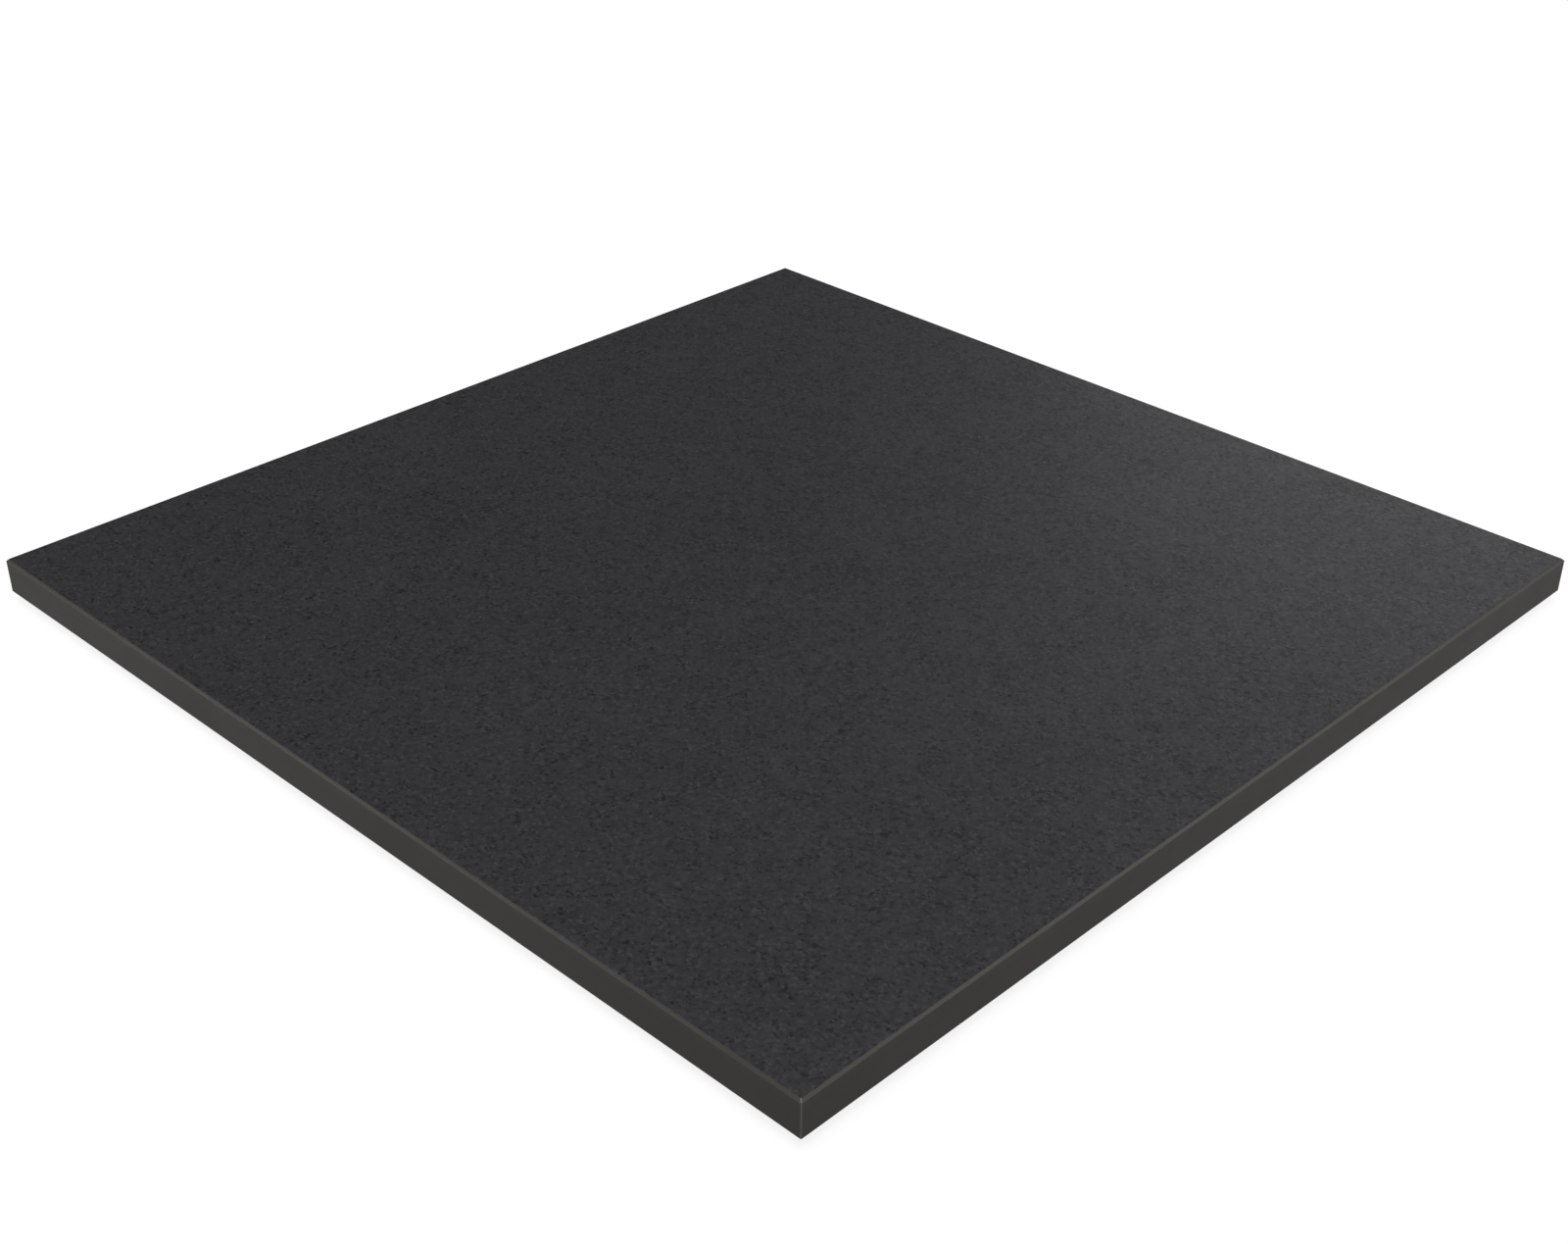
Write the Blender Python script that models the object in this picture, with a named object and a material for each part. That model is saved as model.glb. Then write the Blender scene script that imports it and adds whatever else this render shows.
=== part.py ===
"""Granite tooling slab: a square stone plate on five stick-on rubber feet.

Metres, +Z up. The origin is on the bench, under the middle of the slab.
"""

import math

import bmesh
import bpy

# Slab
SLAB_LENGTH = 0.600  # along X
SLAB_WIDTH = 0.600  # along Y
SLAB_THICKNESS = 0.020
TOP_ARRIS = 0.0012  # 45 degree edge round the work face
BOTTOM_ARRIS = 0.0003  # barely eased edge round the underside
CORNER_ARRIS = 0.0005  # eased upright corners

# Rubber feet
FOOT_DIAMETER = 0.032  # at the top, where the foot is widest
FOOT_HEIGHT = 0.005
FOOT_TAPER = 0.0015  # how far the side leans in towards the bench, so that the foot leaves its mould
FOOT_RIM = 0.0005  # chamfer round the tread
TREAD_LAND = 0.0027  # flat ring between the rim and the groove
TREAD_GROOVE_WIDTH = 0.0026
TREAD_GROOVE_DEPTH = 0.0010
EDGE_TO_FOOT = 0.055  # from the slab's side to the middle of a corner foot

# Adhesive discs
ADHESIVE_INSET = 0.0020  # how far the disc's edge stays inside the foot's
ADHESIVE_THICKNESS = 0.0008

CLEARANCE = 0.0003  # left between faces that touch
ROUND_SEGMENTS = 48

# Heights of the layers, from the bench up
ADHESIVE_BOTTOM = FOOT_HEIGHT + CLEARANCE
SLAB_BOTTOM = ADHESIVE_BOTTOM + ADHESIVE_THICKNESS + CLEARANCE
SLAB_TOP = SLAB_BOTTOM + SLAB_THICKNESS

FINISHES = {
    "honed_granite": {"colour": (0.032, 0.032, 0.034), "roughness": 0.55},
    "foot_rubber": {"colour": (0.018, 0.018, 0.019), "roughness": 0.75},
    "adhesive_foam": {"colour": (0.100, 0.098, 0.094), "roughness": 0.60},
}


def clear_scene():
    for old in list(bpy.data.objects):
        bpy.data.objects.remove(old, do_unlink=True)


def make_material(name):
    finish = FINISHES[name]
    material = bpy.data.materials.new(name)
    material.use_nodes = True
    shader = material.node_tree.nodes["Principled BSDF"]
    shader.inputs["Base Color"].default_value = (*finish["colour"], 1.0)
    shader.inputs["Roughness"].default_value = finish["roughness"]
    shader.inputs["Metallic"].default_value = 0.0
    return material


def object_from(shape, name, material):
    """A mesh object of the bmesh, which is freed."""
    bmesh.ops.recalc_face_normals(shape, faces=shape.faces)
    mesh = bpy.data.meshes.new(name)
    shape.to_mesh(mesh)
    shape.free()
    mesh.materials.append(material)
    made = bpy.data.objects.new(name, mesh)
    bpy.context.scene.collection.objects.link(made)
    return made


def eased_rectangle(length, width, corner):
    """The eight corners of a rectangle whose corners are cut by the given leg."""
    half_x = length / 2
    half_y = width / 2
    return [
        (half_x, -half_y + corner),
        (half_x, half_y - corner),
        (half_x - corner, half_y),
        (-half_x + corner, half_y),
        (-half_x, half_y - corner),
        (-half_x, -half_y + corner),
        (-half_x + corner, -half_y),
        (half_x - corner, -half_y),
    ]


def make_slab():
    """The stone plate, as a stack of outlines that step in at both arrises."""
    levels = [
        (SLAB_BOTTOM, BOTTOM_ARRIS),
        (SLAB_BOTTOM + BOTTOM_ARRIS, 0.0),
        (SLAB_TOP - TOP_ARRIS, 0.0),
        (SLAB_TOP, TOP_ARRIS),
    ]
    shape = bmesh.new()
    rings = []
    for height, inset in levels:
        outline = eased_rectangle(SLAB_LENGTH - 2 * inset, SLAB_WIDTH - 2 * inset, CORNER_ARRIS)
        rings.append([shape.verts.new((x, y, height)) for x, y in outline])
    sides = len(rings[0])
    for lower, upper in zip(rings, rings[1:]):
        for i in range(sides):
            j = (i + 1) % sides
            shape.faces.new((lower[i], lower[j], upper[j], upper[i]))
    shape.faces.new(list(reversed(rings[0])))
    shape.faces.new(rings[-1])
    return object_from(shape, "granite_slab", make_material("honed_granite"))


def turned_mesh(name, profile, material):
    """A closed mesh turned round Z from a profile of (radius, height) points that starts and ends on the axis."""
    shape = bmesh.new()
    points = [shape.verts.new((radius, 0.0, height)) for radius, height in profile]
    edges = [shape.edges.new(pair) for pair in zip(points, points[1:])]
    bmesh.ops.spin(
        shape,
        geom=points + edges,
        axis=(0.0, 0.0, 1.0),
        cent=(0.0, 0.0, 0.0),
        angle=2 * math.pi,
        steps=ROUND_SEGMENTS,
        use_duplicate=False,
    )
    bmesh.ops.remove_doubles(shape, verts=shape.verts, dist=1e-6)
    bmesh.ops.recalc_face_normals(shape, faces=shape.faces)
    mesh = bpy.data.meshes.new(name)
    shape.to_mesh(mesh)
    shape.free()
    mesh.materials.append(material)
    mesh.shade_smooth()
    mesh.set_sharp_from_angle(angle=math.radians(30))
    return mesh


def foot_profile():
    """Half of the foot's section, from the middle of its tread round to the middle of its top."""
    foot_radius = FOOT_DIAMETER / 2
    tread_radius = foot_radius - FOOT_TAPER
    groove_outer = tread_radius - FOOT_RIM - TREAD_LAND
    groove_middle = groove_outer - TREAD_GROOVE_WIDTH / 2
    groove_inner = groove_outer - TREAD_GROOVE_WIDTH
    return [
        (0.0, 0.0),
        (groove_inner, 0.0),
        (groove_middle, TREAD_GROOVE_DEPTH),
        (groove_outer, 0.0),
        (tread_radius - FOOT_RIM, 0.0),
        (tread_radius, FOOT_RIM),
        (foot_radius, FOOT_HEIGHT),
        (0.0, FOOT_HEIGHT),
    ]


def adhesive_profile():
    radius = FOOT_DIAMETER / 2 - ADHESIVE_INSET
    return [
        (0.0, ADHESIVE_BOTTOM),
        (radius, ADHESIVE_BOTTOM),
        (radius, ADHESIVE_BOTTOM + ADHESIVE_THICKNESS),
        (0.0, ADHESIVE_BOTTOM + ADHESIVE_THICKNESS),
    ]


def foot_places():
    """One foot near each corner and one under the middle, where blows land."""
    reach_x = SLAB_LENGTH / 2 - EDGE_TO_FOOT
    reach_y = SLAB_WIDTH / 2 - EDGE_TO_FOOT
    return {
        "front_left": (-reach_x, -reach_y),
        "front_right": (reach_x, -reach_y),
        "back_left": (-reach_x, reach_y),
        "back_right": (reach_x, reach_y),
        "centre": (0.0, 0.0),
    }


def place(mesh, name, spot):
    made = bpy.data.objects.new(name, mesh)
    made.location = (*spot, 0.0)
    bpy.context.scene.collection.objects.link(made)
    return made


def make_feet():
    foot_mesh = turned_mesh("foot", foot_profile(), make_material("foot_rubber"))
    adhesive_mesh = turned_mesh("adhesive", adhesive_profile(), make_material("adhesive_foam"))
    for corner, spot in foot_places().items():
        place(foot_mesh, "foot_" + corner, spot)
        place(adhesive_mesh, "foot_adhesive_" + corner, spot)


clear_scene()
make_slab()
make_feet()
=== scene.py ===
import math

import bmesh
import bpy
from mathutils import Matrix, Vector, noise


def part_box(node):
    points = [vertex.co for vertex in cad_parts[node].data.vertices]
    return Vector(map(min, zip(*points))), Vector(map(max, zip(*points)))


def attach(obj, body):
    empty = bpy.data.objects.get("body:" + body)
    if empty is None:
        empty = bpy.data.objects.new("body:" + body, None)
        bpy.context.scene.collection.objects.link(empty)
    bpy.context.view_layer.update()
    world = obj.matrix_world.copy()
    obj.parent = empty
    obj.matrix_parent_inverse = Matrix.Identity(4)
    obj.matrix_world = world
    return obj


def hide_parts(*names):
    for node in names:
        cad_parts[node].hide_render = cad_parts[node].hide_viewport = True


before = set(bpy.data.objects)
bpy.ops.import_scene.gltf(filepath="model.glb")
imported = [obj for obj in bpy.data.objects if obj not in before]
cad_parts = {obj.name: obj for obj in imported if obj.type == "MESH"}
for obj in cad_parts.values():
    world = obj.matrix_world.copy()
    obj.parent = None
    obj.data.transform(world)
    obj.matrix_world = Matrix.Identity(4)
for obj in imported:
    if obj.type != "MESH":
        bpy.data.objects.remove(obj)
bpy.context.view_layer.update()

# Everything is in metres and +Z is up. The slab lies level on its feet, and the camera looks
# over its front right corner.
mm = 0.001
slabLow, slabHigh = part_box("granite_slab")
slabMiddle = (slabLow + slabHigh) / 2
workFace = Vector((slabMiddle.x, slabMiddle.y, slabHigh.z))


def linkToScene(obj):
    bpy.context.scene.collection.objects.link(obj)
    return obj


def meshFrom(name, shape, sharpAbove):
    mesh = bpy.data.meshes.new(name)
    shape.to_mesh(mesh)
    shape.free()
    mesh.shade_smooth()
    mesh.set_sharp_from_angle(angle=math.radians(sharpAbove))
    return mesh


def held(value, low=0.0, high=1.0):
    return max(low, min(high, value))


def wire(tree, outSocket, inSocket):
    tree.links.new(outSocket, inSocket)


def addNode(tree, kind, x, y, **settings):
    node = tree.nodes.new(kind)
    node.location = (x, y)
    for key, value in settings.items():
        setattr(node, key, value)
    return node


def fillSocket(tree, socket, given):
    # a number or a colour is typed into the socket, anything else is wired to it
    if isinstance(given, bpy.types.NodeSocket):
        wire(tree, given, socket)
    elif isinstance(given, tuple) and socket.type == "RGBA":
        socket.default_value = (*given, 1.0)
    else:
        socket.default_value = given


def mathNode(tree, operation, x, y, first, second=0.0):
    node = addNode(tree, "ShaderNodeMath", x, y, operation=operation)
    fillSocket(tree, node.inputs[0], first)
    fillSocket(tree, node.inputs[1], second)
    return node.outputs[0]


def vectorNode(tree, operation, x, y, first, second):
    node = addNode(tree, "ShaderNodeVectorMath", x, y, operation=operation)
    fillSocket(tree, node.inputs[0], first)
    fillSocket(tree, node.inputs["Scale"] if operation == "SCALE" else node.inputs[1], second)
    return node.outputs["Value"] if operation == "DISTANCE" else node.outputs["Vector"]


def rangeNode(tree, x, y, value, fromMin, fromMax, toMin=0.0, toMax=1.0):
    node = addNode(tree, "ShaderNodeMapRange", x, y, clamp=True)
    fillSocket(tree, node.inputs["Value"], value)
    fillSocket(tree, node.inputs["From Min"], fromMin)
    fillSocket(tree, node.inputs["From Max"], fromMax)
    fillSocket(tree, node.inputs["To Min"], toMin)
    fillSocket(tree, node.inputs["To Max"], toMax)
    return node.outputs["Result"]


def noiseNode(tree, x, y, place, scale, detail, roughness):
    node = addNode(tree, "ShaderNodeTexNoise", x, y, noise_dimensions="3D")
    fillSocket(tree, node.inputs["Vector"], place)
    fillSocket(tree, node.inputs["Scale"], scale)
    node.inputs["Detail"].default_value = detail
    node.inputs["Roughness"].default_value = roughness
    return node


def mixNumber(tree, x, y, factor, first, second):
    node = addNode(tree, "ShaderNodeMix", x, y, data_type="FLOAT")
    fillSocket(tree, node.inputs[0], factor)
    fillSocket(tree, node.inputs[2], first)
    fillSocket(tree, node.inputs[3], second)
    return node.outputs[0]


def mixColour(tree, x, y, factor, first, second):
    node = addNode(tree, "ShaderNodeMix", x, y, data_type="RGBA")
    fillSocket(tree, node.inputs[0], factor)
    fillSocket(tree, node.inputs[6], first)
    fillSocket(tree, node.inputs[7], second)
    return node.outputs[2]


def weighed(tree, x, y, parts):
    # adds up values, each times its own weight
    total = None
    for step, (value, weight) in enumerate(parts):
        share = mathNode(tree, "MULTIPLY", x, y - 160 * step, value, weight)
        total = share if total is None else mathNode(tree, "ADD", x + 180, y - 160 * step, total, share)
    return total


def newGroup(name, inputs, outputs):
    # inputs: label -> (value to start with, smallest, largest), and every group takes a place as well
    tree = bpy.data.node_groups.new(name, "ShaderNodeTree")
    tree.interface.new_socket("Place", in_out="INPUT", socket_type="NodeSocketVector")
    for label, (value, low, high) in inputs.items():
        socket = tree.interface.new_socket(label, in_out="INPUT", socket_type="NodeSocketFloat")
        socket.default_value = value
        socket.min_value = low
        socket.max_value = high
    for label in outputs:
        tree.interface.new_socket(label, in_out="OUTPUT", socket_type="NodeSocketFloat")
    given = addNode(tree, "NodeGroupInput", -1400, 0)
    result = addNode(tree, "NodeGroupOutput", 1000, 0)
    return tree, given.outputs, result.inputs


def useGroup(tree, group, x, y, place, values):
    node = addNode(tree, "ShaderNodeGroup", x, y, node_tree=group, label=group.name)
    wire(tree, place, node.inputs["Place"])
    for label, value in values.items():
        node.inputs[label].default_value = value
    return node.outputs


def newMaterial(name):
    material = bpy.data.materials.new(name)
    material.use_nodes = True
    tree = material.node_tree
    shader = tree.nodes["Principled BSDF"]
    shader.location = (900, 0)
    tree.nodes["Material Output"].location = (1200, 0)
    coordinates = addNode(tree, "ShaderNodeTexCoord", -1500, 0)
    return material, tree, shader, coordinates.outputs["Object"]


def addBump(tree, shader, height, distance):
    bump = addNode(tree, "ShaderNodeBump", 650, -300)
    bump.inputs["Distance"].default_value = distance
    wire(tree, height, bump.inputs["Height"])
    wire(tree, bump.outputs["Normal"], shader.inputs["Normal"])


cameraSet = {
    "standFromWorkFace": (0.7288, -0.7464, 0.5796),  # from the middle of the work face
    "heading": 43.655,  # degrees, turned left from +Y
    "tiltDown": 32.363,
    "roll": 0.643,
    "lens": 50.286,
    "sensor": 36.0,
    "shift": (-0.01756, 0.04054),
}


def makeCamera():
    data = bpy.data.cameras.new("camera")
    data.lens = cameraSet["lens"]
    data.sensor_width = cameraSet["sensor"]
    data.shift_x, data.shift_y = cameraSet["shift"]
    camera = linkToScene(bpy.data.objects.new("camera", data))
    turn = (
        Matrix.Rotation(math.radians(cameraSet["heading"]), 4, "Z")
        @ Matrix.Rotation(math.radians(90 - cameraSet["tiltDown"]), 4, "X")
        @ Matrix.Rotation(math.radians(cameraSet["roll"]), 4, "Z")
    )
    camera.matrix_world = Matrix.Translation(workFace + Vector(cameraSet["standFromWorkFace"])) @ turn
    bpy.context.scene.camera = camera


floorSet = {
    "radius": 30.0,
    "sectors": 96,
    "sharpAbove": 30.0,  # degrees
    "colour": (0.12, 0.12, 0.12),
    "glow": 0.86,  # it is a lit table, where the slab throws only a faint shadow
    "roughness": 0.85,
    "specular": 0.1,
}

# The back box gives the work face its sheen towards the right, and the two side boxes lift the
# edges. Turn is in degrees left from +Y and rise in degrees above the work face.
boxSet = {
    "backBox": {"turn": 10.0, "rise": 15.0, "away": 2.4, "size": (1.9, 1.0), "watts": 6.3},
    "rightBox": {"turn": -48.0, "rise": 24.0, "away": 3.2, "size": (1.6, 1.2), "watts": 10.0},
    "leftBox": {"turn": 146.0, "rise": 12.0, "away": 1.1, "size": (0.5, 0.3), "watts": 0.8},
}

# The sun stands for the broad soft light overhead, so it is very wide. Both angles are in degrees.
sunSet = {"energy": 3.74, "spread": 50.0, "lean": (12.0, 8.0)}

worldSet = {"fill": 0.04, "backdrop": 1.0}


def makeFloor():
    shape = bmesh.new()
    radius, sectors = floorSet["radius"], floorSet["sectors"]
    bmesh.ops.create_circle(shape, cap_ends=True, radius=radius, segments=sectors)
    mesh = meshFrom("floor", shape, floorSet["sharpAbove"])
    floor = linkToScene(bpy.data.objects.new("floor", mesh))
    material, tree, shader, place = newMaterial("paleFloor")
    shader.inputs["Base Color"].default_value = (*floorSet["colour"], 1.0)
    shader.inputs["Roughness"].default_value = floorSet["roughness"]
    shader.inputs["Specular IOR Level"].default_value = floorSet["specular"]
    shader.inputs["Emission Color"].default_value = (1.0, 1.0, 1.0, 1.0)
    shader.inputs["Emission Strength"].default_value = floorSet["glow"]
    floor.data.materials.append(material)


def makeBoxes():
    for name, box in boxSet.items():
        data = bpy.data.lights.new(name, "AREA")
        data.shape = "RECTANGLE"
        data.size, data.size_y = box["size"]
        data.energy = box["watts"]
        turn = math.radians(box["turn"])
        rise = math.radians(box["rise"])
        level = Vector((-math.sin(turn), math.cos(turn), 0)) * math.cos(rise)
        towards = level + Vector((0, 0, math.sin(rise)))
        lamp = linkToScene(bpy.data.objects.new(name, data))
        lamp.location = workFace + towards * box["away"]
        lamp.rotation_euler = towards.to_track_quat("Z", "Y").to_euler()
        lamp.visible_camera = False


def makeSun():
    data = bpy.data.lights.new("sun", "SUN")
    data.energy = sunSet["energy"]
    data.angle = math.radians(sunSet["spread"])
    sun = linkToScene(bpy.data.objects.new("sun", data))
    sun.rotation_euler = (math.radians(sunSet["lean"][0]), math.radians(sunSet["lean"][1]), 0)


def makeWorld():
    # the room is dim for what it lights and pale where the camera looks straight at it
    world = bpy.data.worlds.new("studio")
    world.use_nodes = True
    tree = world.node_tree
    fill = tree.nodes["Background"]
    backdrop = addNode(tree, "ShaderNodeBackground", 0, -200)
    for shade, strength in ((fill, worldSet["fill"]), (backdrop, worldSet["backdrop"])):
        shade.inputs["Color"].default_value = (1.0, 1.0, 1.0, 1.0)
        shade.inputs["Strength"].default_value = strength
    seen = addNode(tree, "ShaderNodeLightPath", 0, 300)
    mix = addNode(tree, "ShaderNodeMixShader", 300, 0)
    wire(tree, seen.outputs["Is Camera Ray"], mix.inputs[0])
    wire(tree, fill.outputs[0], mix.inputs[1])
    wire(tree, backdrop.outputs[0], mix.inputs[2])
    wire(tree, mix.outputs[0], tree.nodes["World Output"].inputs["Surface"])
    bpy.context.scene.world = world
    bpy.context.scene.view_settings.view_transform = "Standard"


makeCamera()
makeFloor()
makeBoxes()
makeSun()
makeWorld()
print("studio ready")


crystalSet = {
    "bend": 1.1,  # how far a grain's place is bent, in grain sizes
    "bendNoise": (2.0, 0.5),  # detail and roughness
    "spread": 4.0,  # lets the rarest grains reach the darkest and the palest tone
    "pitFade": 0.03,  # between a grain with no pit and one with a full pit
    "pitCore": (0.25, 0.5),  # a pit is full up to here and gone by there, in grain sizes
    "domeEdge": 0.7,
    "standWeights": (0.6, 0.4),  # height of the whole grain, roundness of its top
}


def crystalGroup():
    # packed mineral grains: a tone for each grain, a few pits between them, which the materials darken
    # as painted shade, and how high each grain stands
    inputs = {"Grain Size": (1.4, 0.1, 20.0), "Pit Share": (0.05, 0.0, 1.0)}  # the size is in mm
    tree, given, result = newGroup("crystals", inputs, ("Tone", "Pits", "Relief"))
    perMetre = mathNode(tree, "DIVIDE", -1200, 300, 1 / mm, given["Grain Size"])

    # neighbouring grains run into each other, so their places are bent by a noise first
    bend = noiseNode(tree, -1000, -300, given["Place"], perMetre, *crystalSet["bendNoise"])
    centred = vectorNode(tree, "SUBTRACT", -800, -300, bend.outputs["Color"], (0.5, 0.5, 0.5))
    reach = mathNode(tree, "MULTIPLY", -800, -500, given["Grain Size"], crystalSet["bend"] * mm)
    bent = vectorNode(tree, "SCALE", -600, -300, centred, reach)
    spot = vectorNode(tree, "ADD", -400, -300, given["Place"], bent)

    grains = addNode(tree, "ShaderNodeTexVoronoi", -200, 300, feature="F1")
    wire(tree, spot, grains.inputs["Vector"])
    wire(tree, perMetre, grains.inputs["Scale"])
    split = addNode(tree, "ShaderNodeSeparateColor", 0, 300)
    wire(tree, grains.outputs["Color"], split.inputs[0])

    # most grains are close to the middle tone, and only a few are much darker or paler
    away = mathNode(tree, "SUBTRACT", 200, 350, split.outputs["Red"], 0.5)
    squared = mathNode(tree, "MULTIPLY", 400, 350, away, away)
    spread = mathNode(tree, "MULTIPLY", 400, 200, away, crystalSet["spread"])
    cubed = mathNode(tree, "MULTIPLY", 600, 350, squared, spread)
    wire(tree, mathNode(tree, "ADD", 800, 350, cubed, 0.5), result["Tone"])

    pitFrom = mathNode(tree, "SUBTRACT", 0, -150, 1.0, given["Pit Share"])
    pitTo = mathNode(tree, "ADD", 200, -150, pitFrom, crystalSet["pitFade"])
    pitGrain = rangeNode(tree, 400, -150, split.outputs["Blue"], pitFrom, pitTo)
    pitCore = rangeNode(tree, 400, -400, grains.outputs["Distance"], *crystalSet["pitCore"], 1.0, 0.0)
    wire(tree, mathNode(tree, "MULTIPLY", 700, -300, pitGrain, pitCore), result["Pits"])

    dome = rangeNode(tree, 200, 600, grains.outputs["Distance"], 0.0, crystalSet["domeEdge"], 1.0, 0.0)
    stands = tuple(zip((split.outputs["Green"], dome), crystalSet["standWeights"]))
    wire(tree, weighed(tree, 500, 500, stands), result["Relief"])
    return tree


driftNoise = (2.0, 0.55)  # detail and roughness


def driftGroup():
    # soft patches of a chosen size, from fine mottling to slow drifts of tone
    inputs = {"Patch Size": (20.0, 0.1, 1000.0), "Contrast": (2.0, 0.0, 10.0)}  # the size is in mm
    tree, given, result = newGroup("drifts", inputs, ("Tone",))
    perMetre = mathNode(tree, "DIVIDE", -1100, 200, 1 / mm, given["Patch Size"])
    patches = noiseNode(tree, -800, 100, given["Place"], perMetre, *driftNoise)
    away = mathNode(tree, "SUBTRACT", -500, 100, patches.outputs["Fac"], 0.5)
    pulled = mathNode(tree, "MULTIPLY", -300, 100, away, given["Contrast"])
    wire(tree, rangeNode(tree, 0, 0, pulled, -0.5, 0.5), result["Tone"])
    return tree


breakSet = {
    "lineNoise": (3.0, 0.6),  # detail and roughness
    "lineBand": (0.3, 0.7),  # a stroke starts here and is full there
    "gapsPerMetre": 45.0,
    "gapNoise": (2.0, 0.5),
    "gapBand": (0.35, 0.6),
}


def strokeGroup():
    # fine strokes that a wheel or a blade leaves; the place handed in is already stretched along them
    inputs = {"Stroke Width": (0.6, 0.01, 50.0), "Broken": (0.4, 0.0, 1.0)}  # the width is in mm
    tree, given, result = newGroup("strokes", inputs, ("Strokes",))
    perMetre = mathNode(tree, "DIVIDE", -1100, 200, 1 / mm, given["Stroke Width"])
    lines = noiseNode(tree, -800, 100, given["Place"], perMetre, *breakSet["lineNoise"])
    gapScale = breakSet["gapsPerMetre"]
    gaps = noiseNode(tree, -800, -200, given["Place"], gapScale, *breakSet["gapNoise"])
    whole = rangeNode(tree, -500, -200, gaps.outputs["Fac"], *breakSet["gapBand"])
    kept = mixNumber(tree, -250, -200, given["Broken"], 1.0, whole)
    pulled = rangeNode(tree, -500, 100, lines.outputs["Fac"], *breakSet["lineBand"])
    wire(tree, mathNode(tree, "MULTIPLY", 0, 0, pulled, kept), result["Strokes"])
    return tree


settleSet = {
    "speckNoise": (3.0, 0.7),  # detail and roughness
    "heapsPerMetre": 60.0,
    "heapNoise": (3.0, 0.6),
    "startsAt": 0.65,  # of the noise, with an amount of 0
    "lowered": -0.25,  # how far the amount brings that down
    "fade": 0.12,
}


def dustGroup():
    # stone dust and lint that settles in specks, thicker in some places than others
    inputs = {"Speck Size": (0.8, 0.05, 10.0), "Amount": (0.3, 0.0, 1.0)}  # the size is in mm
    tree, given, result = newGroup("dust", inputs, ("Dust",))
    perMetre = mathNode(tree, "DIVIDE", -1100, 200, 1 / mm, given["Speck Size"])
    specks = noiseNode(tree, -800, 100, given["Place"], perMetre, *settleSet["speckNoise"])
    heapScale = settleSet["heapsPerMetre"]
    heaps = noiseNode(tree, -800, -200, given["Place"], heapScale, *settleSet["heapNoise"])
    both = weighed(tree, -500, 100, ((specks.outputs["Fac"], 0.5), (heaps.outputs["Fac"], 0.5)))
    start = mathNode(tree, "MULTIPLY_ADD", -300, -200, given["Amount"], settleSet["lowered"])
    start.node.inputs[2].default_value = settleSet["startsAt"]
    stop = mathNode(tree, "ADD", -100, -200, start, settleSet["fade"])
    wire(tree, rangeNode(tree, 200, 0, both, start, stop), result["Dust"])
    return tree


crystals = crystalGroup()
drifts = driftGroup()
strokes = strokeGroup()
dust = dustGroup()
print("shader groups ready")


slabSet = {
    "topArris": 1.2 * mm,
    "bottomArris": 0.3 * mm,
    "cornerArris": 0.5 * mm,
    "cornerPull": 0.36,  # share of the corner arris that an upright corner is drawn in by
    "rounding": 0.14 * mm,  # how far each arris edge is rubbed round
    "roundingSteps": 3,
    "mostRounding": 0.4,  # share of the flat beside it that a rounding may take
    "lipInsets": (2.0, 4.0),  # where the flat faces start: top arrises in, bottom arrises in
    "lines": 150,  # mesh lines across each face
    "sideRows": 4,
    "closeRow": 0.25 * mm,  # a mesh line this far from each eased edge keeps the flat beside it flat
    "sharpAbove": 60.0,  # degrees
}

# how far each tool took the stone down, and how its marks run; waves are per metre
wearSet = {
    "honeDepth": 0.03 * mm,  # hollows that honing leaves in the work face
    "honeWaves": 18.0,
    "honeFractal": (1.0, 2.0, 3),  # roughness, step and number of finer waves
    "honeFade": 20 * mm,  # the hollows die out this far from the arris
    "sawDepth": 0.12 * mm,  # ridges that the saw leaves in the underside
    "sawPitch": 21 * mm,
    "sawCentre": (-0.9, 0.2),  # the blade swung about a point beyond the left side
    "sawWaver": 3.0,  # radians
    "sawWaves": 9.0,
    "sawSlice": 3,  # which slice of the noise it follows
    "sawFade": (2 * mm, 10 * mm),  # from the side: where the ridges start, and over how much they grow
    "arrisWander": 0.05 * mm,  # the arris is rubbed by hand, so its width drifts a little
    "arrisWaves": 26.0,
    "arrisSlice": 7,
    "arrisFade": 0.3 * mm,
    "sideDepth": 0.04 * mm,
    "sideWaves": (22.0, 60.0),  # along the side, up the side
    "sideFade": 1.5 * mm,
    "flatWithin": 0.001 * mm,  # closer than this to the top or the bottom is on that face
}

# shares of the slab's UV map: most of it goes to the work face, whose grain is the finest
mapSet = {"margin": 0.008, "top": 0.72, "underside": 0.25, "strip": 0.055}


def slabLines(half):
    # where the mesh lines lie across a face: two close to each corner and the rest evenly spread
    eased = half - slabSet["cornerArris"]
    inner = eased - slabSet["closeRow"]
    count = slabSet["lines"] - 4
    return [-half, -eased] + [-inner + 2 * inner * i / count for i in range(count + 1)] + [eased, half]


def slabRing(halfX, halfY):
    # the points round the slab at one height, anticlockwise from the front left corner
    alongX = slabLines(halfX)
    alongY = slabLines(halfY)
    ring = [(x, -halfY) for x in alongX[:-1]]
    ring += [(halfX, y) for y in alongY[:-1]]
    ring += [(x, halfY) for x in alongX[:0:-1]]
    ring += [(-halfX, y) for y in alongY[:0:-1]]
    pull = slabSet["cornerArris"] * slabSet["cornerPull"]
    for corner in range(4):
        index = corner * slabSet["lines"]
        x, y = ring[index]
        ring[index] = (x - math.copysign(pull, x), y - math.copysign(pull, y))
    return ring


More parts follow.
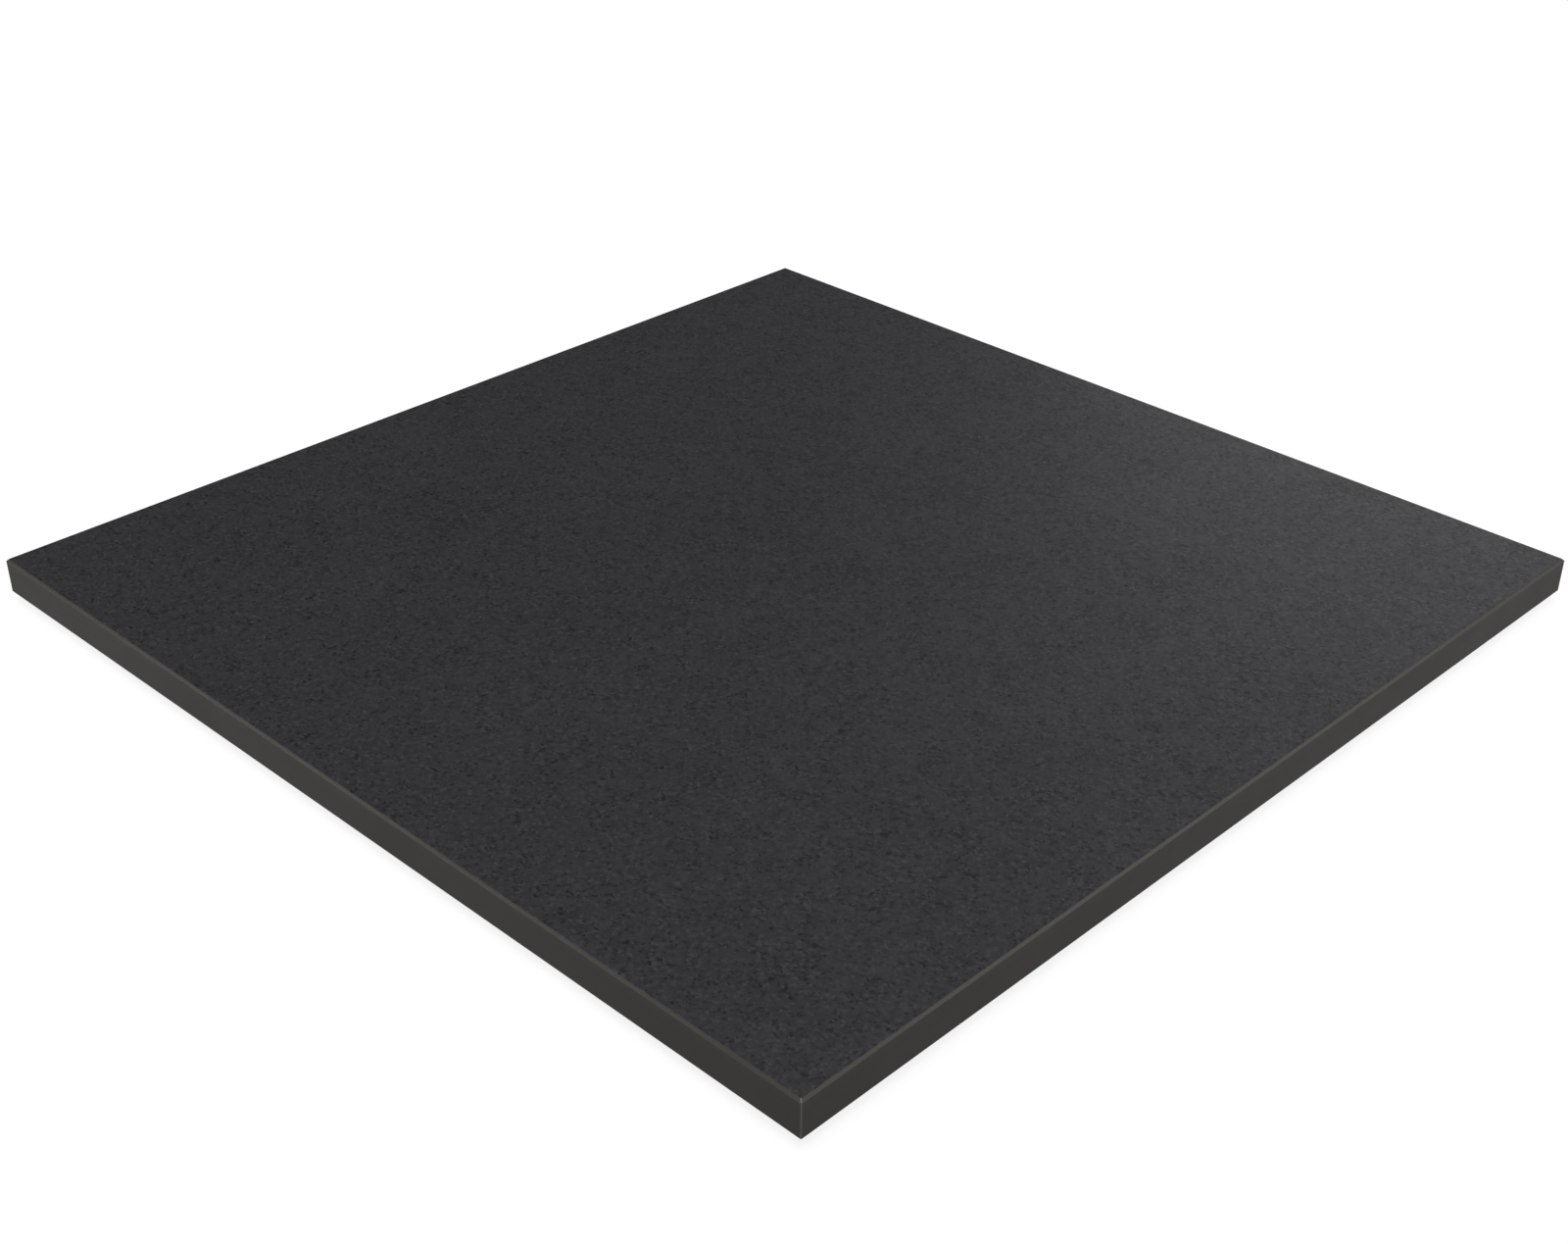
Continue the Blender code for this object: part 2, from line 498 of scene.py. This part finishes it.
def roundedCorner(start, corner, end):
    # a short curve that takes the sharpness off one corner of the section
    steps = slabSet["roundingSteps"]
    shares = [i / steps for i in range(steps + 1)]
    return [start.lerp(corner, t).lerp(corner.lerp(end, t), t) for t in shares]


def slabSection():
    # (inset from the side, height) and finish of each step, from the underside's rim up to the
    # work face's rim
    top = slabSet["topArris"]
    bottom = slabSet["bottomArris"]
    height = slabHigh.z - slabLow.z
    topLip, bottomLip = slabSet["lipInsets"]
    outline = (
        (bottom * bottomLip, 0),
        (bottom, 0),
        (0, bottom),
        (0, height - top),
        (top, height),
        (top * topLip, height),
    )
    corners = [Vector(point) for point in outline]
    section = [corners[0]]
    finishes = ["sawn"]
    after = ("ground", "ground", "rubbed", "honed")
    for before, corner, behind, finish in zip(corners, corners[1:], corners[2:], after):
        back = before - corner
        ahead = behind - corner
        most = slabSet["mostRounding"]
        start = corner + back.normalized() * min(slabSet["rounding"], back.length * most)
        end = corner + ahead.normalized() * min(slabSet["rounding"], ahead.length * most)
        section += roundedCorner(start, corner, end)
        finishes += [finish] * (slabSet["roundingSteps"] + 1)
        if corner == corners[2]:  # the side has a few rows of its own
            rows = slabSet["sideRows"]
            upper = Vector((0, height - top - slabSet["rounding"]))
            close = slabSet["closeRow"] / (upper - end).length
            shares = [close] + [i / rows for i in range(1, rows)] + [1 - close]
            section += [end.lerp(upper, share) for share in shares]
            finishes += [finish] * len(shares)
    section.append(corners[-1])
    return section, finishes


def faceMap(face, layer, share, offset):
    # lays out one square of a flat face in the picture, as seen from above
    size = slabHigh - slabLow
    for loop in face.loops:
        across = (loop.vert.co.x - slabLow.x) / size.x
        along = (loop.vert.co.y - slabLow.y) / size.y
        loop[layer].uv = (offset[0] + share * across, offset[1] + share * along)


def fillCap(shape, layer, ring, rim, finish, faceDown):
    # a grid of squares inside the ring, sharing its points
    count = slabSet["lines"]
    size = slabHigh - slabLow
    alongX = slabLines(size.x / 2 - rim.x)
    alongY = slabLines(size.y / 2 - rim.x)
    grid = {}
    for i in range(count):
        grid[i, 0] = ring[i]
        grid[count, i] = ring[count + i]
        grid[count - i, count] = ring[2 * count + i]
        grid[0, count - i] = ring[3 * count + i]
    z = slabLow.z + rim.y
    for i in range(1, count):
        for j in range(1, count):
            grid[i, j] = shape.verts.new((slabMiddle.x + alongX[i], slabMiddle.y + alongY[j], z))
    margin = mapSet["margin"]
    share = mapSet["underside"] if faceDown else mapSet["top"]
    offset = (mapSet["top"] + 2 * margin, margin) if faceDown else (margin, margin)
    for i in range(count):
        for j in range(count):
            square = [grid[i, j], grid[i + 1, j], grid[i + 1, j + 1], grid[i, j + 1]]
            if faceDown:
                square.reverse()
            face = shape.faces.new(square)
            face.material_index = finish
            faceMap(face, layer, share, offset)


def wearPoint(point, normal):
    # how far and which way honing, sawing, grinding or rubbing moved one point
    x, y, z = point
    top = slabSet["topArris"]
    toSide = min(slabHigh.x - abs(x - slabMiddle.x), slabHigh.y - abs(y - slabMiddle.y))
    if z > slabHigh.z - wearSet["flatWithin"]:
        spot = Vector((x, y, 0)) * wearSet["honeWaves"]
        hollow = 0.5 + 0.5 * noise.fractal(spot, *wearSet["honeFractal"])
        inward = held((toSide - top) / wearSet["honeFade"])
        return Vector((0, 0, -wearSet["honeDepth"] * held(hollow) * inward))
    if z < slabLow.z + wearSet["flatWithin"]:
        swing = math.hypot(x - wearSet["sawCentre"][0], y - wearSet["sawCentre"][1])
        spot = Vector((x, y, wearSet["sawSlice"])) * wearSet["sawWaves"]
        waver = wearSet["sawWaver"] * noise.noise(spot)
        ridge = 0.5 + 0.5 * math.sin(swing * 2 * math.pi / wearSet["sawPitch"] + waver)
        ridgesFrom, ridgesGrow = wearSet["sawFade"]
        return Vector((0, 0, wearSet["sawDepth"] * ridge * held((toSide - ridgesFrom) / ridgesGrow)))
    if z > slabHigh.z - top - slabSet["rounding"]:
        spot = Vector((x, y, wearSet["arrisSlice"])) * wearSet["arrisWaves"]
        waver = 0.5 + 0.5 * noise.noise(spot)
        fromEdge = min(slabHigh.z - z, z - slabHigh.z + top + slabSet["rounding"])
        return -normal * wearSet["arrisWander"] * waver * held(fromEdge / wearSet["arrisFade"])
    along, up = wearSet["sideWaves"]
    ripple = 0.5 + 0.5 * noise.noise(Vector((x * along, y * along, z * up)))
    fade = held((z - slabLow.z) / wearSet["sideFade"])
    return -Vector((normal.x, normal.y, 0)) * wearSet["sideDepth"] * ripple * fade


def makeSlab():
    size = slabHigh - slabLow
    shape = bmesh.new()
    layer = shape.loops.layers.uv.new("OFBake")  # the UV map that the slab's surface is laid out in
    section, finishes = slabSection()
    order = ("honed", "rubbed", "ground", "sawn")  # as in slabFinishes
    rings = []
    for inset, height in section:
        ring = slabRing(size.x / 2 - inset, size.y / 2 - inset)
        z = slabLow.z + height
        rings.append([shape.verts.new((slabMiddle.x + x, slabMiddle.y + y, z)) for x, y in ring])

    count = slabSet["lines"]
    reach = [0.0]
    for before, behind in zip(section, section[1:]):
        reach.append(reach[-1] + (behind - before).length)
    for level, finish in enumerate(finishes):
        for i in range(4 * count):
            j = (i + 1) % (4 * count)
            lower, upper = rings[level], rings[level + 1]
            face = shape.faces.new((lower[i], lower[j], upper[j], upper[i]))
            side, step = divmod(i, count)
            # the eased upright corners take the arris's paler finish as well, which also paints a
            # highlight along them
            cornerWithPaintedHighlight = finish == "ground" and step in (0, count - 1)
            face.material_index = order.index("rubbed" if cornerWithPaintedHighlight else finish)
            low = mapSet["top"] + (2 + side) * mapSet["margin"] / 2 + side * mapSet["strip"]
            for loop, (move, row) in zip(face.loops, ((0, 0), (1, 0), (1, 1), (0, 1))):
                along = mapSet["margin"] + mapSet["top"] * (step + move) / count
                loop[layer].uv = (along, low + mapSet["strip"] * reach[level + row] / reach[-1])
    fillCap(shape, layer, rings[-1], section[-1], order.index("honed"), False)
    fillCap(shape, layer, rings[0], section[0], order.index("sawn"), True)

    shape.normal_update()
    worn = [(vert, wearPoint(vert.co, vert.normal)) for vert in shape.verts]
    for vert, move in worn:
        vert.co += move
    return linkToScene(bpy.data.objects.new("slab", meshFrom("slab", shape, slabSet["sharpAbove"])))


honedSet = {
    "dark": (0.0040, 0.0040, 0.0045),
    "light": (0.0300, 0.0300, 0.0338),
    # painted shade in the pits
    "pit": (0.0040, 0.0040, 0.0045),
    "roughness": (0.51, 0.49),  # the pale grains take the better polish
    "specular": 0.25,
    "sealer": (0.2, 0.6),  # it shines on the pale grains and soaks into the dark ones
    "sealerRoughness": 0.5,
    "grain": {"Grain Size": 1.45, "Pit Share": 0.05},
    "mottle": {"Patch Size": 2.8, "Contrast": 2.4},
    "patch": {"Patch Size": 14.0, "Contrast": 2.4},
    "cloud": {"Patch Size": 60.0, "Contrast": 2.4},
    "patchBand": (0.3, 0.7),  # the patches' tones that count as darkest and palest
    "lively": (1.45, 0.75),  # how far the grains differ in dark and in pale patches
    "crowding": (1.0, 0.15),  # how strong the pits are in dark and in pale patches
    "toneWeights": (0.64, 0.20, 0.08, 0.08),  # grain, mottle, patch, cloud
    "toneBand": (0.25, 0.75),  # over which the polish and the sealer change
    "reliefWeights": (0.5, 0.25, -0.4),  # mottle, grain, pits
    "relief": 0.07 * mm,
}


def honedTop():
    material, tree, shader, place = newMaterial("honedTop")
    grain = useGroup(tree, crystals, -1100, 500, place, honedSet["grain"])
    mottle = useGroup(tree, drifts, -1100, 200, place, honedSet["mottle"])["Tone"]
    patch = useGroup(tree, drifts, -1100, -50, place, honedSet["patch"])["Tone"]
    cloud = useGroup(tree, drifts, -1100, -300, place, honedSet["cloud"])["Tone"]

    # the grains differ more from each other in some places than in others
    patchBand = honedSet["patchBand"]
    away = mathNode(tree, "SUBTRACT", -1000, 800, grain["Tone"], 0.5)
    lively = rangeNode(tree, -1000, 650, patch, *patchBand, *honedSet["lively"])
    swing = mathNode(tree, "MULTIPLY", -850, 800, away, lively)
    tones = (mathNode(tree, "ADD", -700, 800, swing, 0.5), mottle, patch, cloud)
    tone = weighed(tree, -550, 500, tuple(zip(tones, honedSet["toneWeights"])))
    stone = mixColour(tree, -300, 300, tone, honedSet["dark"], honedSet["light"])

    # the pits crowd together where the stone is darker, and their dark colour is painted shade in these
    # hollows
    crowd = rangeNode(tree, -550, -250, patch, *patchBand, *honedSet["crowding"])
    pits = mathNode(tree, "MULTIPLY", -300, -100, grain["Pits"], crowd)
    wire(tree, mixColour(tree, 0, 300, pits, stone, honedSet["pit"]), shader.inputs["Base Color"])

    toneBand = honedSet["toneBand"]
    polish = rangeNode(tree, 0, 0, tone, *toneBand, *honedSet["roughness"])
    wire(tree, polish, shader.inputs["Roughness"])
    sealer = rangeNode(tree, 200, -100, tone, *toneBand, *honedSet["sealer"])
    wire(tree, sealer, shader.inputs["Coat Weight"])
    shader.inputs["Coat Roughness"].default_value = honedSet["sealerRoughness"]
    shader.inputs["Specular IOR Level"].default_value = honedSet["specular"]
    stands = tuple(zip((mottle, grain["Relief"], pits), honedSet["reliefWeights"]))
    addBump(tree, shader, weighed(tree, 200, -300, stands), honedSet["relief"])
    return material


# the plain side and the paler arris above it; the arris is paler partly as rubbed stone and partly as a
# painted highlight where it catches the light
groundSet = {
    "sideDark": (0.0118, 0.0104, 0.0091),
    "sideLight": (0.0214, 0.0190, 0.0166),
    # the arris colours hold a painted highlight as well as the rubbed stone's own paleness
    "arrisDark": (0.0355, 0.0340, 0.0298),
    "arrisLight": (0.0530, 0.0508, 0.0446),
    "sideRoughness": (0.48, 0.58),
    "arrisRoughness": (0.34, 0.42),
    "sideSpecular": 0.15,
    "arrisSpecular": 0.36,
    "grain": {"Grain Size": 0.8, "Pit Share": 0.02},
    "drift": {"Patch Size": 40.0, "Contrast": 1.6},
    "stroke": {"Stroke Width": 0.7, "Broken": 0.6},
    "stretch": (0.03, 0.03, 1.0),  # the wheel ran along the side
    "toneWeights": (0.30, 0.50, 0.20),  # grain, drift, stroke
    "toneBand": (0.2, 0.8),
    "reliefWeights": (0.6, 0.4),  # grain, stroke
    "relief": 0.012 * mm,
}


def groundEdge(name, start):
    material, tree, shader, place = newMaterial(name)
    grain = useGroup(tree, crystals, -1100, 400, place, groundSet["grain"])
    drift = useGroup(tree, drifts, -1100, 100, place, groundSet["drift"])["Tone"]
    stretched = vectorNode(tree, "MULTIPLY", -1300, -300, place, groundSet["stretch"])
    stroke = useGroup(tree, strokes, -1100, -300, stretched, groundSet["stroke"])["Strokes"]
    tones = (grain["Tone"], drift, stroke)
    tone = weighed(tree, -850, 400, tuple(zip(tones, groundSet["toneWeights"])))
    stone = mixColour(tree, 0, 300, tone, groundSet[start + "Dark"], groundSet[start + "Light"])
    wire(tree, stone, shader.inputs["Base Color"])
    matt = rangeNode(tree, 0, 0, tone, *groundSet["toneBand"], *groundSet[start + "Roughness"])
    wire(tree, matt, shader.inputs["Roughness"])
    shader.inputs["Specular IOR Level"].default_value = groundSet[start + "Specular"]
    stands = tuple(zip((grain["Relief"], stroke), groundSet["reliefWeights"]))
    addBump(tree, shader, weighed(tree, 200, -300, stands), groundSet["relief"])
    return material


sawnSet = {
    "dark": (0.024, 0.0235, 0.0225),
    "light": (0.052, 0.0510, 0.0485),
    "dust": (0.150, 0.1460, 0.1380),
    "roughness": (0.70, 0.84),
    "specular": 0.25,
    "grain": {"Grain Size": 1.5, "Pit Share": 0.05},
    "stroke": {"Stroke Width": 2.4, "Broken": 0.0},
    "drift": {"Patch Size": 90.0, "Contrast": 2.6},
    "powder": {"Speck Size": 1.6, "Amount": 0.55},
    "mostDust": 0.4,  # how much of the stone the dust hides
    "toneWeights": (0.45, 0.30, 0.25),  # grain, stroke, drift
    "toneBand": (0.2, 0.8),
    "reliefWeights": (0.5, 0.5),  # grain, stroke
    "relief": 0.07 * mm,
}


def sawnUnderside():
    material, tree, shader, place = newMaterial("sawnUnderside")
    grain = useGroup(tree, crystals, -1100, 400, place, sawnSet["grain"])
    drift = useGroup(tree, drifts, -1100, 100, place, sawnSet["drift"])["Tone"]
    powder = useGroup(tree, dust, -1100, -150, place, sawnSet["powder"])["Dust"]

    # the blade's arcs all lie about one point, so a stroke depends only on the distance to it
    flat = vectorNode(tree, "MULTIPLY", -1700, -400, place, (1.0, 1.0, 0.0))
    swing = vectorNode(tree, "DISTANCE", -1500, -400, flat, (*wearSet["sawCentre"], 0.0))
    across = addNode(tree, "ShaderNodeCombineXYZ", -1300, -400)
    wire(tree, swing, across.inputs["X"])
    stroke = useGroup(tree, strokes, -1100, -400, across.outputs[0], sawnSet["stroke"])["Strokes"]
    tones = (grain["Tone"], stroke, drift)
    tone = weighed(tree, -850, 400, tuple(zip(tones, sawnSet["toneWeights"])))
    stone = mixColour(tree, -300, 300, tone, sawnSet["dark"], sawnSet["light"])
    thin = mathNode(tree, "MULTIPLY", -300, 0, powder, sawnSet["mostDust"])
    wire(tree, mixColour(tree, 0, 300, thin, stone, sawnSet["dust"]), shader.inputs["Base Color"])
    matt = rangeNode(tree, 0, 0, tone, *sawnSet["toneBand"], *sawnSet["roughness"])
    wire(tree, matt, shader.inputs["Roughness"])
    shader.inputs["Specular IOR Level"].default_value = sawnSet["specular"]
    stands = tuple(zip((grain["Relief"], stroke), sawnSet["reliefWeights"]))
    addBump(tree, shader, weighed(tree, 200, -300, stands), sawnSet["relief"])
    return material


slab = makeSlab()
slabFinishes = (
    honedTop(),
    # the arris finish's pale colour is partly a painted highlight
    groundEdge("rubbedArrisWithPaintedHighlight", "arris"),
    groundEdge("groundSide", "side"),
    sawnUnderside(),
)
for finish in slabFinishes:
    slab.data.materials.append(finish)
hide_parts("granite_slab")
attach(slab, "root")
print("slab ready:", len(slab.data.polygons), "faces")


footCorners = ("front_left", "front_right", "back_left", "back_right", "centre")
turnedSharpAbove = 40.0  # degrees


def pieceName(start, corner):
    # foot and front_left make footFrontLeft
    return start + "".join(word.capitalize() for word in corner.split("_"))


def arcPoints(middle, radius, fromAngle, toAngle, steps):
    # degrees, measured from outwards towards up
    turns = [math.radians(fromAngle + (toAngle - fromAngle) * i / steps) for i in range(steps + 1)]
    across, up = middle
    return [(across + radius * math.cos(turn), up + radius * math.sin(turn)) for turn in turns]


def turnedPiece(name, section, spot, sectors, nudge):
    # turns half a section of (radius, height) round the upright line through the spot; the
    # section starts and ends on that line
    shape = bmesh.new()
    rings = []
    for radius, height in section:
        around = sectors if radius > 0 else 1
        ring = []
        for i in range(around):
            turn = 2 * math.pi * i / sectors
            level = Vector((math.cos(turn), math.sin(turn), 0)) * radius
            point = Vector((spot.x, spot.y, height)) + level
            ring.append(shape.verts.new(point + nudge(point, level)))
        rings.append(ring)
    for lower, upper in zip(rings, rings[1:]):
        for i in range(sectors):
            j = (i + 1) % sectors
            loop = (
                lower[i % len(lower)],
                lower[j % len(lower)],
                upper[j % len(upper)],
                upper[i % len(upper)],
            )
            shape.faces.new(list(dict.fromkeys(loop)))  # a triangle where a ring is a single point
    return linkToScene(bpy.data.objects.new(name, meshFrom(name, shape, turnedSharpAbove)))


footSet = {
    "sectors": 96,
    "ringStep": 0.2 * mm,
    "dimple": (1.5 * mm, 0.40 * mm),  # the mark of the moulding gate: radius and depth
    "ribs": (3.0 * mm, 8.2 * mm),  # from and to
    "ribPitch": 1.3 * mm,
    "ribDepth": 0.25 * mm,
    "groove": (8.7 * mm, 11.3 * mm),
    "grooveDepth": 1.0 * mm,
    "taper": 1.5 * mm,  # the side leans in towards the bench
    "rimRound": 0.5 * mm,
    "rimArc": (-90, -8, 5),  # from and to in degrees, steps
    "topRound": 0.45 * mm,
    "topArc": (0, 90, 5),
    "sideRows": 26,
    "bulge": 0.12 * mm,  # the slab's weight
    "partingHeight": 0.74,  # share of the foot's height
    "partingRise": 0.07 * mm,
    "partingWidth": 0.16 * mm,
    "treadWear": 0.04 * mm,
    "treadWaves": 140,  # per metre
    "treadSlice": 5,
}


def treadHeight(radius):
    dimpleRadius, dimpleDepth = footSet["dimple"]
    ribsFrom, ribsTo = footSet["ribs"]
    grooveFrom, grooveTo = footSet["groove"]
    if radius < dimpleRadius:
        return dimpleDepth * (1 - (radius / dimpleRadius) ** 2)
    if ribsFrom < radius < ribsTo:
        turn = 2 * math.pi * (radius - ribsFrom) / footSet["ribPitch"]
        return footSet["ribDepth"] * (0.5 - 0.5 * math.cos(turn))
    if grooveFrom < radius < grooveTo:
        across = (2 * radius - grooveFrom - grooveTo) / (grooveTo - grooveFrom)
        return footSet["grooveDepth"] * math.sqrt(1 - across ** 2)
    return 0.0


def footSection(low, high):
    # from the middle of the tread, out over the rim and up the side, to the middle of the top
    topRadius = (high.x - low.x) / 2
    height = high.z - low.z
    treadRadius = topRadius - footSet["taper"]
    rim = footSet["rimRound"]
    steps = round((treadRadius - rim) / footSet["ringStep"])
    radii = [(treadRadius - rim) * i / steps for i in range(steps)]
    section = [(radius, treadHeight(radius)) for radius in radii]
    section += arcPoints((treadRadius - rim, rim), rim, *footSet["rimArc"])
    rows = footSet["sideRows"]
    topStart = height - footSet["topRound"]
    parting = height * footSet["partingHeight"]
    for i in range(1, rows):
        z = rim + (topStart - rim) * i / rows
        bulge = footSet["bulge"] * math.sin(math.pi * z / height)
        flash = footSet["partingRise"] * held(1 - abs(z - parting) / footSet["partingWidth"])
        section.append((treadRadius + footSet["taper"] * z / height + bulge + flash, z))
    topRound = footSet["topRound"]
    section += arcPoints((topRadius - topRound, topStart), topRound, *footSet["topArc"])
    section.append((topRadius / 2, height))
    section.append((0.0, height))
    return [(radius, low.z + z) for radius, z in section]


def wearTread(point, level):
    # the tread is rubbed a little unevenly where it stands on the bench
    if point.z > footSet["rimRound"]:
        return Vector((0, 0, 0))
    waves = footSet["treadWaves"]
    worn = 0.5 + 0.5 * noise.noise(Vector((point.x * waves, point.y * waves, footSet["treadSlice"])))
    return Vector((0, 0, footSet["treadWear"] * worn * held(1 - point.z / footSet["rimRound"])))


rubberSet = {
    "dark": (0.0095, 0.0095, 0.0100),
    "light": (0.0210, 0.0210, 0.0215),
    "bloom": (0.0520, 0.0510, 0.0490),  # the pale bloom that rubber sweats out
    "scuff": (0.0780, 0.0760, 0.0720),
    "dust": (0.1700, 0.1650, 0.1550),
    "roughness": (0.62, 0.84),
    "specular": 0.35,
    "skin": {"Patch Size": 0.45, "Contrast": 2.2},
    "cloud": {"Patch Size": 7.0, "Contrast": 2.6},
    "powder": {"Speck Size": 0.5, "Amount": 0.50},
    "scratch": {"Stroke Width": 0.5, "Broken": 0.5},
    "drag": (0.12, 1.0, 1.0),  # the scratches run along X
    "scuffedBelow": 0.35 * mm,
    "toneWeights": (0.4, 0.6),  # skin, cloud
    "bloomBand": (0.55, 1.0),
    "mostBloom": 0.45,
    "mostDust": 0.35,
    "mattWeights": (0.5, 0.3, 0.3),  # skin, scuffs, dust
    "mattBand": (0.1, 0.8),
    "reliefWeights": (0.7, -0.3),  # skin, scuffs
    "relief": 0.06 * mm,
}


def mouldedRubber():
    material, tree, shader, place = newMaterial("mouldedRubber")
    skin = useGroup(tree, drifts, -1100, 400, place, rubberSet["skin"])["Tone"]
    cloud = useGroup(tree, drifts, -1100, 150, place, rubberSet["cloud"])["Tone"]
    powder = useGroup(tree, dust, -1100, -100, place, rubberSet["powder"])["Dust"]
    dragged = vectorNode(tree, "MULTIPLY", -1300, -350, place, rubberSet["drag"])
    scratch = useGroup(tree, strokes, -1100, -350, dragged, rubberSet["scratch"])["Strokes"]
    split = addNode(tree, "ShaderNodeSeparateXYZ", -1100, -600)
    wire(tree, place, split.inputs[0])
    tread = rangeNode(tree, -850, -600, split.outputs["Z"], 0.0, rubberSet["scuffedBelow"], 1.0, 0.0)

    tone = weighed(tree, -850, 400, tuple(zip((skin, cloud), rubberSet["toneWeights"])))
    rubber = mixColour(tree, -500, 400, tone, rubberSet["dark"], rubberSet["light"])
    bloomed = rangeNode(tree, -700, 150, cloud, *rubberSet["bloomBand"], 0.0, rubberSet["mostBloom"])
    rubber = mixColour(tree, -300, 350, bloomed, rubber, rubberSet["bloom"])
    scuffed = mathNode(tree, "MULTIPLY", -500, -350, tread, scratch)
    rubber = mixColour(tree, -100, 300, scuffed, rubber, rubberSet["scuff"])
    thin = mathNode(tree, "MULTIPLY", -300, 0, powder, rubberSet["mostDust"])
    wire(tree, mixColour(tree, 200, 300, thin, rubber, rubberSet["dust"]), shader.inputs["Base Color"])

    dull = weighed(tree, 0, 0, tuple(zip((skin, scuffed, powder), rubberSet["mattWeights"])))
    matt = rangeNode(tree, 400, 0, dull, *rubberSet["mattBand"], *rubberSet["roughness"])
    wire(tree, matt, shader.inputs["Roughness"])
    shader.inputs["Specular IOR Level"].default_value = rubberSet["specular"]
    stands = tuple(zip((skin, scuffed), rubberSet["reliefWeights"]))
    addBump(tree, shader, weighed(tree, 200, -300, stands), rubberSet["relief"])
    return material


rubber = mouldedRubber()
for corner in footCorners:
    footLow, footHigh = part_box("foot_" + corner)
    spot = (footLow + footHigh) / 2
    section = footSection(footLow, footHigh)
    foot = turnedPiece(pieceName("foot", corner), section, spot, footSet["sectors"], wearTread)
    foot.data.materials.append(rubber)
    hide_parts("foot_" + corner)
    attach(foot, "root")
print("feet ready:", len(footCorners))


adhesiveSet = {
    "sectors": 160,
    "edgeRows": 10,
    "innerRing": 0.6,  # share of the radius
    "squeeze": 0.30 * mm,  # how far the foam bulges out between the foot and the slab
    "waver": 0.16 * mm,  # the disc was cut and pressed on by hand
    "waverWaves": (300, 2600),  # slow and fine ones, per metre
    "waverSlice": 11,
    "waverWeights": (0.7, 0.3),
    "waverInward": 0.5,  # share of the waver that every edge is drawn in by
}


def adhesiveSection(radius, bottom, top):
    # the foam fills the whole height between the foot and the slab
    rows = adhesiveSet["edgeRows"]
    innerRadius = radius * adhesiveSet["innerRing"]
    section = [(0.0, bottom), (innerRadius, bottom)]
    for i in range(rows + 1):
        share = i / rows
        bulge = adhesiveSet["squeeze"] * (math.sin(math.pi * share) - 1)
        section.append((radius + bulge, bottom + (top - bottom) * share))
    return section + [(innerRadius, top), (0.0, top)]


def waverEdge(point, level):
    if level.length < adhesiveSet["waver"]:
        return Vector((0, 0, 0))
    slowWaves, fineWaves = adhesiveSet["waverWaves"]
    slow = noise.noise(Vector((point.x * slowWaves, point.y * slowWaves, adhesiveSet["waverSlice"])))
    fine = noise.noise(Vector((point.x * fineWaves, point.y * fineWaves, point.z * fineWaves)))
    slowWeight, fineWeight = adhesiveSet["waverWeights"]
    outward = slowWeight * slow + fineWeight * fine - adhesiveSet["waverInward"]
    return level.normalized() * adhesiveSet["waver"] * outward


foamSet = {
    "dark": (0.052, 0.0505, 0.0480),
    "light": (0.118, 0.1150, 0.1100),
    # painted shade inside the foam's open cells
    "cell": (0.018, 0.0175, 0.0165),
    "dust": (0.200, 0.1950, 0.1850),
    "roughness": (0.66, 0.90),
    "specular": 0.25,
    "cells": {"Grain Size": 0.32, "Pit Share": 0.30},
    "stain": {"Patch Size": 5.0, "Contrast": 2.4},
    "powder": {"Speck Size": 0.4, "Amount": 0.45},
    "mostDust": 0.35,
    "toneWeights": (0.45, 0.55),  # cells, stain
    "toneBand": (0.2, 0.8),
    "reliefWeights": (0.5, -0.5),  # cells, pits
    "relief": 0.10 * mm,
}


def adhesiveFoam():
    material, tree, shader, place = newMaterial("adhesiveFoam")
    cells = useGroup(tree, crystals, -1100, 400, place, foamSet["cells"])
    stain = useGroup(tree, drifts, -1100, 100, place, foamSet["stain"])["Tone"]
    powder = useGroup(tree, dust, -1100, -150, place, foamSet["powder"])["Dust"]
    tones = (cells["Tone"], stain)
    tone = weighed(tree, -850, 400, tuple(zip(tones, foamSet["toneWeights"])))
    foam = mixColour(tree, -400, 400, tone, foamSet["dark"], foamSet["light"])
    # the open cells are painted darker, as painted shade inside them
    foam = mixColour(tree, -150, 350, cells["Pits"], foam, foamSet["cell"])
    thin = mathNode(tree, "MULTIPLY", -300, 0, powder, foamSet["mostDust"])
    wire(tree, mixColour(tree, 100, 300, thin, foam, foamSet["dust"]), shader.inputs["Base Color"])
    matt = rangeNode(tree, 100, 0, tone, *foamSet["toneBand"], *foamSet["roughness"])
    wire(tree, matt, shader.inputs["Roughness"])
    shader.inputs["Specular IOR Level"].default_value = foamSet["specular"]
    stands = tuple(zip((cells["Relief"], cells["Pits"]), foamSet["reliefWeights"]))
    addBump(tree, shader, weighed(tree, 200, -300, stands), foamSet["relief"])
    return material


foam = adhesiveFoam()
for corner in footCorners:
    discLow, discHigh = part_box("foot_adhesive_" + corner)
    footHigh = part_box("foot_" + corner)[1]
    spot = (discLow + discHigh) / 2
    section = adhesiveSection((discHigh.x - discLow.x) / 2, footHigh.z, slabLow.z)
    disc = turnedPiece(pieceName("adhesive", corner), section, spot, adhesiveSet["sectors"], waverEdge)
    disc.data.materials.append(foam)
    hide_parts("foot_adhesive_" + corner)
    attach(disc, "root")
print("adhesive discs ready:", len(footCorners))
